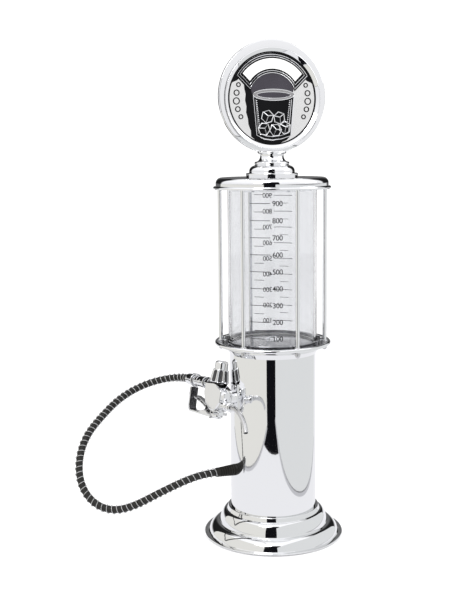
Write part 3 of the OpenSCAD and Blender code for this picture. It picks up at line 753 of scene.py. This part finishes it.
body_outline = rounded([(27.5, 3.4, 2), (7, 4.2, 2.5), (-10.6, -2.6, 2.5), (-10.6, -15.5, 2.5),
                        (-1.5, -24.5, 3), (10, -24.5, 3), (21.5, -18.5, 2.5), (27.5, -9, 2.5)], 5)
bevelled(in_nozzle("nozzle_block", [upright(prism(body_outline, -7.4, 7.4))],
                   replaces=("nozzle_body",)), 1.5, 4)
in_nozzle("nozzle_front", [
    along_y(rounded([(0, -13.2, 0), (3.4, -13.2, 0.6), (4.4, -12.4, 0.6), (6.4, -10.2, 0.4),
                     (6.4, -9, 0), (0, -9, 0)], 4), -7.2, 8, closed=False),
    along_y([(1.75, -21.5), (3.4, -21.5), (4.1, -20.8), (4.1, -17), (3.5, -16.4), (3.5, -15.6),
             (4.5, -14.8), (4.9, -10), (1.75, -10)], SPOUT_Z),
])
in_nozzle("nozzle_barrel", [
    along_z(rounded([(0, -31.4, 0), (4.6, -31.4, 0.8), (6.3, -30.4, 0.7), (6.5, -27.4, 0.4),
                     (5.9, -26.8, 0.3), (5.9, -26.2, 0.3), (6.5, -25.6, 0.4), (6.5, -20, 0),
                     (0, -20, 0)], 4), 3.5, closed=False),
])
in_nozzle("nozzle_cap_ring", [along_z(rounded([(6.0, -27.5, 0.2), (6.75, -27.5, 0.3),
                                               (6.75, -26.1, 0.3), (6.0, -26.1, 0.2)], 3), 3.5)],
          mat=BLACK)
in_nozzle("nozzle_neck", [
    along_z([(4.6, 3), (7.4, 3), (7.6, 4.2), (7.2, 5.4), (6.3, 5.8), (6.3, 9.4), (4.6, 9.4)],
            VALVE_Y),
    along_y([(2.7, 27), (5.4, 27), (5.8, 27.6), (5.8, 30.2), (5.0, 31), (5.0, 36.6), (4.6, 37.6),
             (4.0, 38), (4.0, 41.6), (2.7, 41.6)]),
])


FLUTES = 8
FLUTE_DEPTH = 2.1
KNOB_R = 10.6  # at the foot of the taper
KNOB_FOOT = 5.2
KNOB_STEP_IN = 0.14
KNOB_STEP_UP = 0.97


def fluted(r, z, t):
    """Deep rounded flutes, running out at the knob's ends; the bore is left round."""
    if r < 6.6:
        return r
    strength = min(1, max(0, (17.6 - z) / 1.2)) * min(1, max(0, (z - KNOB_FOOT) / 1.0))
    return r - FLUTE_DEPTH * strength * (0.5 - 0.5 * math.cos(FLUTES * t)) ** 0.8


knob_profile = (
    [(6.5, 4.6), (10.0, 4.6), (KNOB_R, KNOB_FOOT)]
    + [(KNOB_R - KNOB_STEP_IN * k, KNOB_FOOT + KNOB_STEP_UP * k) for k in range(1, 13)]
    + [(8.75, 17.4), (8.4, 17.8), (7.2, 18), (7.0, 18.4), (6.9, 24.4)]
    + [(6.5, 25.6), (5.6, 26.5), (4.2, 27.0), (0, 27.1), (0, 19.4), (4.8, 19.4), (4.8, 10.5),
       (6.5, 10.5)]
)
knob = in_nozzle("knob_fluted", [along_z(knob_profile, VALVE_Y, 180, True, fluted)],
                 replaces=("nozzle_knob",))
into_nozzle = NOZZLE.inverted()


def in_flute(face):
    """True for a face well inside one of the knob's flutes."""
    x, y, z = into_nozzle @ face.center / MM
    surface = KNOB_R - KNOB_STEP_IN * (z - KNOB_FOOT) / KNOB_STEP_UP
    return 5.6 < z < 17.2 and surface - 2.4 < math.hypot(x, y - VALVE_Y) < surface - 0.85


# Painted shade: faces deep in the flutes get dark chrome for the dark reflections in the grooves.
darken(knob, in_flute)
# Painted shadow: a black ring stands for the shade in the gap under the knob.
in_nozzle("knob_gap_painted_shadow", [along_z(rounded([(7.0, 3.3, 0.2), (9.2, 3.3, 0.5), (9.2, 4.7, 0.5),
                                        (7.0, 4.7, 0.2)], 3), VALVE_Y)],
          mat=BLACK)

in_nozzle("coupling_turned", [along_y(
    [(2.7, 42), (5.4, 42), (5.4, 38.4), (5.9, 38), (6.3, 38.6), (6.3, 44.6), (5.9, 45.4),
     (5.5, 46), (5.5, 47), (5.75, 47.6), (5.75, 53.8), (5.3, 54.4), (5.3, 55), (5.7, 55.6),
     (5.7, 59.6), (5.4, 60), (2.7, 60)])], replaces=("coupling_nut",))
in_nozzle("ferrule_turned", [along_y(
    [(2.7, 60), (5.3, 60), (5.75, 60.6), (5.75, 64), (5.6, 64.4), (5.6, 80.4), (5.9, 81),
     (5.9, 83.4), (5.5, 84), (4.2, 84), (2.7, 83.6)])], replaces=("hose_ferrule",))

guard_path = rounded([(16, -30.9, 0), (67.2, -30.9, 6), (68.4, -4.2, 0)], 10)[:-1]
guard_path = [(2.5, -31.1)] + guard_path + [(68.6, -6.0)]


def strap(path, half_width, thick):
    """A flat band, drawn in (y, z), with its width along x."""
    points = [Vector((p[0], p[1])) for p in path]
    verts, n = [], len(points)
    for i, p in enumerate(points):
        along = (points[min(i + 1, n - 1)] - points[max(i - 1, 0)]).normalized()
        off = Vector((-along.y, along.x)) * thick / 2
        for x, q in ((-half_width, p - off), (half_width, p - off), (half_width, p + off),
                     (-half_width, p + off)):
            verts.append((x, q.x, q.y))
    faces = [(3, 2, 1, 0), tuple(4 * (n - 1) + k for k in range(4))]
    for i in range(n - 1):
        for k in range(4):
            m = (k + 1) % 4
            faces.append((4 * i + k, 4 * i + m, 4 * i + 4 + m, 4 * i + 4 + k))
    return verts, faces


guard = in_nozzle("guard_strap", [strap(guard_path, 4.6, 2.7)], replaces=("trigger_guard",))
# The first two faces are the strap's ends; then every fourth is on its inner side, and these get
# painted shade, a dark chrome for the dark reflection there.
darken(guard, lambda face: face.index >= 2 and (face.index - 2) % 4 == 2)
bevelled(guard, 0.7, 3)
in_nozzle("guard_collar", [along_y(rounded([(5.9, 66, 0.4), (7.4, 66, 0.7), (7.4, 71, 0.7),
                                            (5.9, 71, 0.4)], 4))])
gusset = rounded([(8, -29.8, 0), (40, -29.8, 0.4), (22, -25.5, 3), (19, -17.5, 0), (8, -20, 0)], 5)
bevelled(in_nozzle("guard_gusset", [
    upright(prism(gusset, -6.2, -4.3)), upright(prism(gusset, 4.3, 6.2))]), 0.5, 3)

lever_outline = rounded([(-5, -28.9, 1.5), (13, -28.2, 3), (40, -20.6, 8), (56, -17.7, 2),
                         (60.2, -16.6, 1.4), (59.6, -13.6, 1.4), (54, -13.9, 3), (40, -16.6, 8),
                         (14, -24.5, 3), (-5, -24.1, 1.5)], 5)
bevelled(in_nozzle("lever", [upright(prism(lever_outline, -3.5, 3.5))], replaces=("trigger",),
                   body="trigger"), 0.9, 3)

SPRING_FOOT = 9.9
COIL_R = 3.7
COIL_PITCH = 1.75
COIL_TURNS = 5
COIL_STEPS = 14  # in one turn
coil = [(COIL_R * math.cos(TAU * i / COIL_STEPS), VALVE_Y + COIL_R * math.sin(TAU * i / COIL_STEPS),
         SPRING_FOOT + COIL_PITCH * i / COIL_STEPS) for i in range(COIL_TURNS * COIL_STEPS + 1)]
spring = in_nozzle("valve_spring_coil", [swept(coil, 0.4, 8)], mat=STEEL,
                   replaces=("valve_spring",), smooth=60)
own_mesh(spring)

SPOUT_BEND = 43
spout_line = [(0, -15 - k, SPOUT_Z) for k in range(0, 14, 2)]
SPOUT_SWEEP = 58
for k in range(1, 29):
    a = math.radians(SPOUT_SWEEP * k / 28)
    spout_line.append((0, -28 - SPOUT_BEND * math.sin(a),
                       SPOUT_Z - SPOUT_BEND * (1 - math.cos(a))))


def pipe(path, outer, inner, sides=32):
    """A tube with a wall, open at both ends."""
    path = [Vector(p) for p in path]
    verts, n = [], len(path)
    for r in (outer, inner):
        for p, (_, u, v) in zip(path, frames(path)):
            for k in range(sides):
                a = TAU * k / sides
                verts.append(p + r * (math.cos(a) * u + math.sin(a) * v))
    faces = []
    for k in range(sides):
        m = (k + 1) % sides
        for i in range(n - 1):
            a, b = i * sides, (i + 1) * sides
            c, d = (n + i) * sides, (n + i + 1) * sides
            faces.append((a + k, a + m, b + m, b + k))
            faces.append((c + k, d + k, d + m, c + m))
        a, b = (n - 1) * sides, (2 * n - 1) * sides
        faces.append((a + k, a + m, b + m, b + k))
        faces.append((k, n * sides + k, n * sides + m, m))
    return verts, faces


spout = in_nozzle("spout_pipe", [pipe(spout_line, 2.5, 2.1)], mat=STEEL, replaces=("spout",))
# Every second face lies in the bore or on the end inside the collar; these get painted shade, a
# dark chrome for the shade in the bore.
darken(spout, lambda face: face.index % 2 == 1)
in_nozzle("spout_collar", [along_y(
    [(2.55, -27), (3.6, -27), (3.8, -26.6), (3.8, -25.2), (4.3, -25), (4.9, -24.4), (4.9, -22.4),
     (4.6, -22), (4.6, -21.6), (2.55, -21.6)], SPOUT_Z)], replaces=("spout_nut",))
in_nozzle("spout_seal", [along_y(rounded([(2.55, -21.7, 0.2), (4.3, -21.7, 0.3),
                                          (4.3, -20.9, 0.3), (2.55, -20.9, 0.2)], 3), SPOUT_Z)],
          mat=BLACK)

# ---------------------------------------------------------------- CAD nodes kept as they are

KEPT = {
    "foot_pad": RUBBER, "base_cover": PLASTIC, "base_screws": STEEL, "base_weight": IRON,
    "drain_gasket": RUBBER, "drain_nut": BRASS, "inner_tube": MILKY, "hose_tail": BRASS,
    "lid_seal": RUBBER, "sign_stud": STEEL, "sign_nut": STEEL, "sign_screws": STEEL,
    "holder_bracket": CHROME, "holder_screws": STEEL, "guard_screws": STEEL, "hose_barb": BRASS,
    "trigger_pin": STEEL, "stem_seal": RUBBER, "valve_stem": STEEL, "valve_seal": RUBBER,
}
for name, mat in KEPT.items():
    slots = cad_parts[name].data.materials
    slots.clear()
    slots.append(mat)

# ---------------------------------------------------------------- studio


def unlit(name):
    """A material with its output left open, and its tree."""
    mat = bpy.data.materials.new(name)
    mat.use_nodes = True
    tree = mat.node_tree
    tree.nodes.remove(tree.nodes["Principled BSDF"])
    return mat, tree


def emitter(name, colour, strength=1.0):
    mat, tree = unlit(name)
    glow = node(tree, "ShaderNodeEmission", Color=(*colour, 1), Strength=strength)
    tree.links.new(glow.outputs[0], tree.nodes["Material Output"].inputs["Surface"])
    return mat


def stage_mesh(name, verts, faces, mat, hidden_from):
    """A studio surface, kept out of sight for some kinds of ray."""
    mesh = bpy.data.meshes.new(name)
    mesh.from_pydata(verts, [], faces)
    mesh.materials.append(mat)
    obj = bpy.data.objects.new(name, mesh)
    scene.collection.objects.link(obj)
    for kind in hidden_from:
        setattr(obj, "visible_" + kind, False)


ALL_BUT_GLOSSY = ("camera", "diffuse", "transmission", "shadow", "volume_scatter")


def card(name, corners, mat):
    """A studio card that shows only in reflections."""
    stage_mesh(name, corners, [tuple(range(len(corners)))], mat, ALL_BUT_GLOSSY)


def wall(name, a, b, low, high, mat):
    card(name, [(*a, low), (*b, low), (*b, high), (*a, high)], mat)


WALL_WARM = emitter("wall_warm", (0.86, 0.85, 0.81))
WALL_COOL = emitter("wall_cool", (0.8, 0.812, 0.815))
FOOT_SHADE = emitter("wall_foot_shade", (0.6, 0.6, 0.63))
SHEEN = emitter("floor_sheen", (0.95, 0.95, 0.975))
DARK = emitter("studio_black", (0.006, 0.006, 0.008))
EDGE = emitter("wall_edge", (0.28, 0.28, 0.29))


def toward(angle, distance):
    """A point at an angle to the right of the camera, seen from the axis."""
    a = CAMERA_SIDE + math.radians(angle)
    return (distance * math.cos(a), distance * math.sin(a))


FACE_GAP = 0.001
SHADE_WIDTH = 14  # in face gaps


def side_wall(name, a, b, height, mat, border=0.003):
    """A light wall with a thin dark border, standing on the floor, its foot in shade."""
    wall(name, a, b, 0.0, height, EDGE)
    va, vb = Vector(a), Vector(b)
    along = (vb - va).normalized() * border
    inward = Vector((-along.y, along.x)).normalized() * FACE_GAP
    if inward.dot(va) > 0:
        inward = -inward
    wall(name + "_face", tuple(va + along + inward), tuple(vb - along + inward), border,
         height - border, mat)
    near, far = va + inward * SHADE_WIDTH, vb + inward * SHADE_WIDTH
    card(name + "_shade", [(*va, 0.0008), (*vb, 0.0008), (*far, 0.0008), (*near, 0.0008)],
         FOOT_SHADE)


WALL_HEIGHT = 0.37
side_wall("left_wall", (-0.340, -0.366), (-0.235, 0.391), WALL_HEIGHT, WALL_WARM)
side_wall("right_wall", (-0.192, -0.506), (0.369, 0.135), WALL_HEIGHT, WALL_COOL)
FRONT_DISTANCE = 1.5
wall("front_dark", toward(-19, FRONT_DISTANCE), toward(15, FRONT_DISTANCE), -0.1, 1.75, DARK)
card("front_floor", [(-0.313, -0.259, 0.0006), (-0.085, -0.356, 0.0006), (-0.2, -0.51, 0.0006),
                     (0.1, -1.6, 0.0006), (-1.6, -1.6, 0.0006), (-0.342, -0.38, 0.0006)], DARK)
GLOSS_R = 1.1
card("floor_gloss", [(GLOSS_R * math.cos(TAU * k / 48), GLOSS_R * math.sin(TAU * k / 48), 0.0002)
                     for k in range(48)], SHEEN)


def sky():
    """Light all round, with a dark stretch low down behind each side of the object."""
    mat, tree = unlit("studio_dome")
    link = tree.links.new

    def sum_of(operation, a, b):
        n = node(tree, "ShaderNodeMath", operation=operation)
        for socket, value in zip(n.inputs, (a, b)):
            if isinstance(value, (int, float)):
                socket.default_value = value
            else:
                link(value, socket)
        return n.outputs[0]

    def ease(value, low, high, start=0.0, end=1.0):
        n = node(tree, "ShaderNodeMapRange", interpolation_type="SMOOTHSTEP")
        for key, number in (("From Min", low), ("From Max", high), ("To Min", start),
                            ("To Max", end)):
            n.inputs[key].default_value = number
        link(value, n.inputs["Value"])
        return n.outputs["Result"]

    place = node(tree, "ShaderNodeTexCoord")
    unit = node(tree, "ShaderNodeVectorMath", operation="NORMALIZE")
    link(place.outputs["Object"], unit.inputs[0])
    split = node(tree, "ShaderNodeSeparateXYZ")
    link(unit.outputs[0], split.inputs[0])
    rise = sum_of("MULTIPLY", sum_of("ARCSINE", split.outputs["Z"], 0), 180 / math.pi)
    level = node(tree, "ShaderNodeVectorMath", operation="MULTIPLY")
    link(unit.outputs[0], level.inputs[0])
    level.inputs[1].default_value = (1, 1, 0)
    flat = node(tree, "ShaderNodeVectorMath", operation="NORMALIZE")
    link(level.outputs[0], flat.inputs[0])
    behind = node(tree, "ShaderNodeVectorMath", operation="DOT_PRODUCT")
    link(flat.outputs[0], behind.inputs[0])
    behind.inputs[1].default_value = (-math.cos(CAMERA_SIDE), -math.sin(CAMERA_SIDE), 0)
    back = behind.outputs["Value"]
    # Dark above 8 degrees and below -5, up to about 50 degrees, and only behind the object.
    low = sum_of("MAXIMUM", ease(rise, -3, 8), ease(rise, -5, -2, 1, 0))
    dark = sum_of("MULTIPLY", low, ease(rise, 44, 58, 1, 0))
    dark = sum_of("MULTIPLY", dark, ease(back, 0.5, 0.62))
    dark = sum_of("MULTIPLY", dark, ease(back, 0.93, 0.995, 1, 0.85))
    bright = ease(rise, 5, 50, 0.95, 1.18)
    value = sum_of("MULTIPLY", bright, sum_of("SUBTRACT", 1.0, sum_of("MULTIPLY", dark, 0.985)))
    glow = node(tree, "ShaderNodeEmission", Color=(0.985, 0.985, 1.0, 1))
    link(value, glow.inputs["Strength"])
    link(glow.outputs[0], tree.nodes["Material Output"].inputs["Surface"])
    return mat


DOME_R = 3.0
dome_verts, dome_faces = turned(arc(0, 0, DOME_R, -20, 90, 24), 64, closed=False)
stage_mesh("studio_dome", dome_verts, dome_faces, sky(), ALL_BUT_GLOSSY)

floor_mat = material("floor", (0.975, 0.975, 0.975), 0.6, vary=0.004, spread=0.05, grain=4, bump=0)
stage_mesh("floor", [(-9, -9, 0), (9, -9, 0), (9, 9, 0), (-9, 9, 0)], [(0, 1, 2, 3)], floor_mat,
           ("glossy",))

WORLD_STRENGTH = 1.16
world = bpy.data.worlds.new("world")
world.use_nodes = True
world.node_tree.nodes["Background"].inputs["Color"].default_value = (1, 1, 1, 1)
world.node_tree.nodes["Background"].inputs["Strength"].default_value = WORLD_STRENGTH
scene.world = world
scene.view_settings.view_transform = "Standard"
scene.view_settings.look = "None"


def lamp(name, at, aim, size, power):
    data = bpy.data.lights.new(name, "AREA")
    data.size = size
    data.energy = power
    obj = bpy.data.objects.new(name, data)
    obj.location = at
    obj.rotation_euler = (Vector(aim) - Vector(at)).to_track_quat("-Z", "Y").to_euler()
    scene.collection.objects.link(obj)


lamp("key", (-1.1, -0.9, 1.5), (0, 0, 0.2), 0.9, 9)
lamp("fill", (1.2, -0.7, 1.2), (0, 0, 0.25), 0.9, 5)
